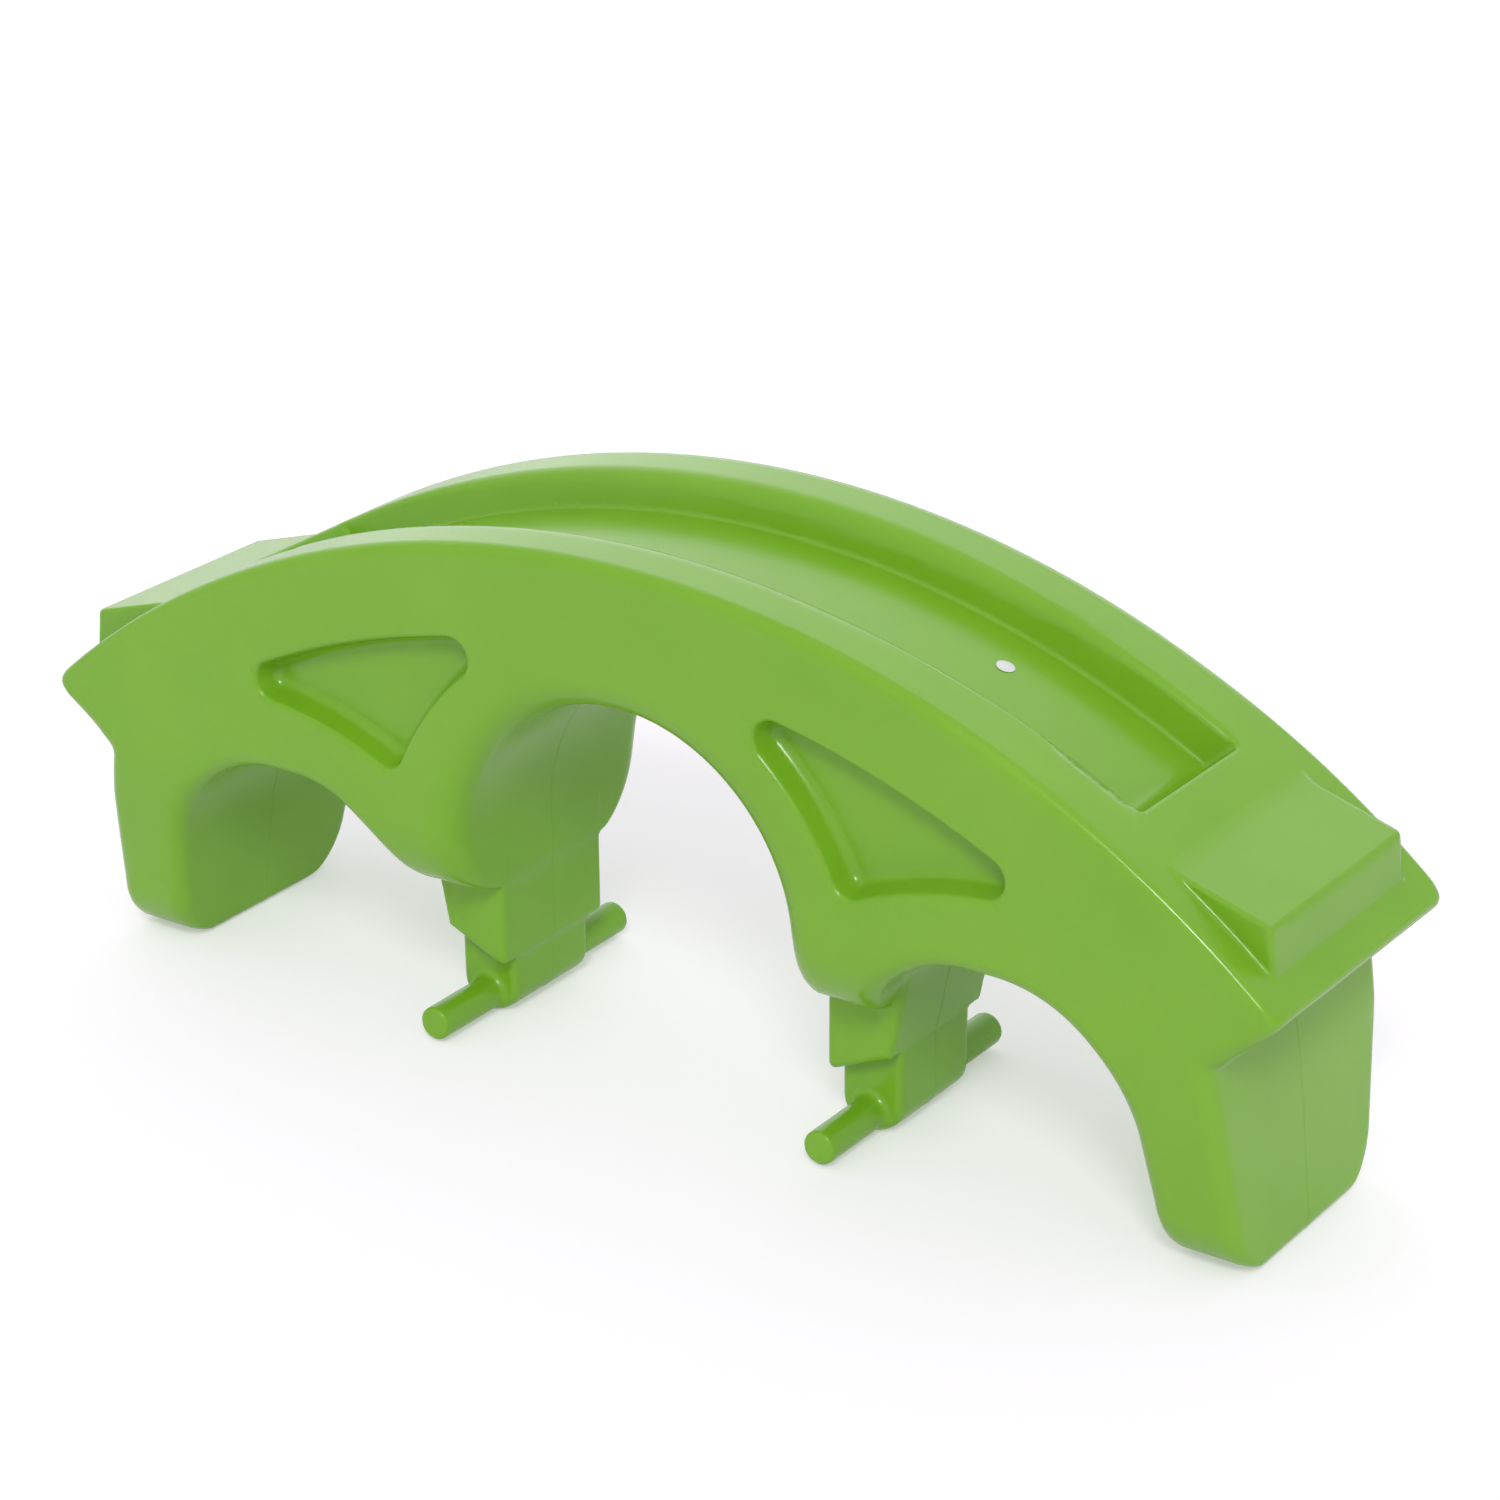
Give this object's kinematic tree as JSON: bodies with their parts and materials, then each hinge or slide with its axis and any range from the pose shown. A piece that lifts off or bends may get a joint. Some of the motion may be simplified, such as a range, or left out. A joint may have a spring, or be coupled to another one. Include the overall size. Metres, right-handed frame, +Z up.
{
  "type": "tunnel rocker",
  "caption": "low hollow plastic bridge with a tunnel and a small arch at each end; turned over it is a seesaw with two seats, backrests and round handles",
  "frame": {"origin": "on the floor under the middle of the object, as it stands with the tunnel down", "axes": "+X along the length, from one end leg to the other; -Y the front; +Z up"},
  "size_m": [1.2202, 0.281, 0.483],
  "materials": {
    "lime_polyethylene": "rotationally moulded polyethylene, satin gloss, coloured right through",
    "plug_white": "small white snap-in plug, smooth"
  },
  "bodies": {
    "root": {"body_shell": "lime_polyethylene", "vent_plug": "plug_white"}
  },
  "joints": []
}
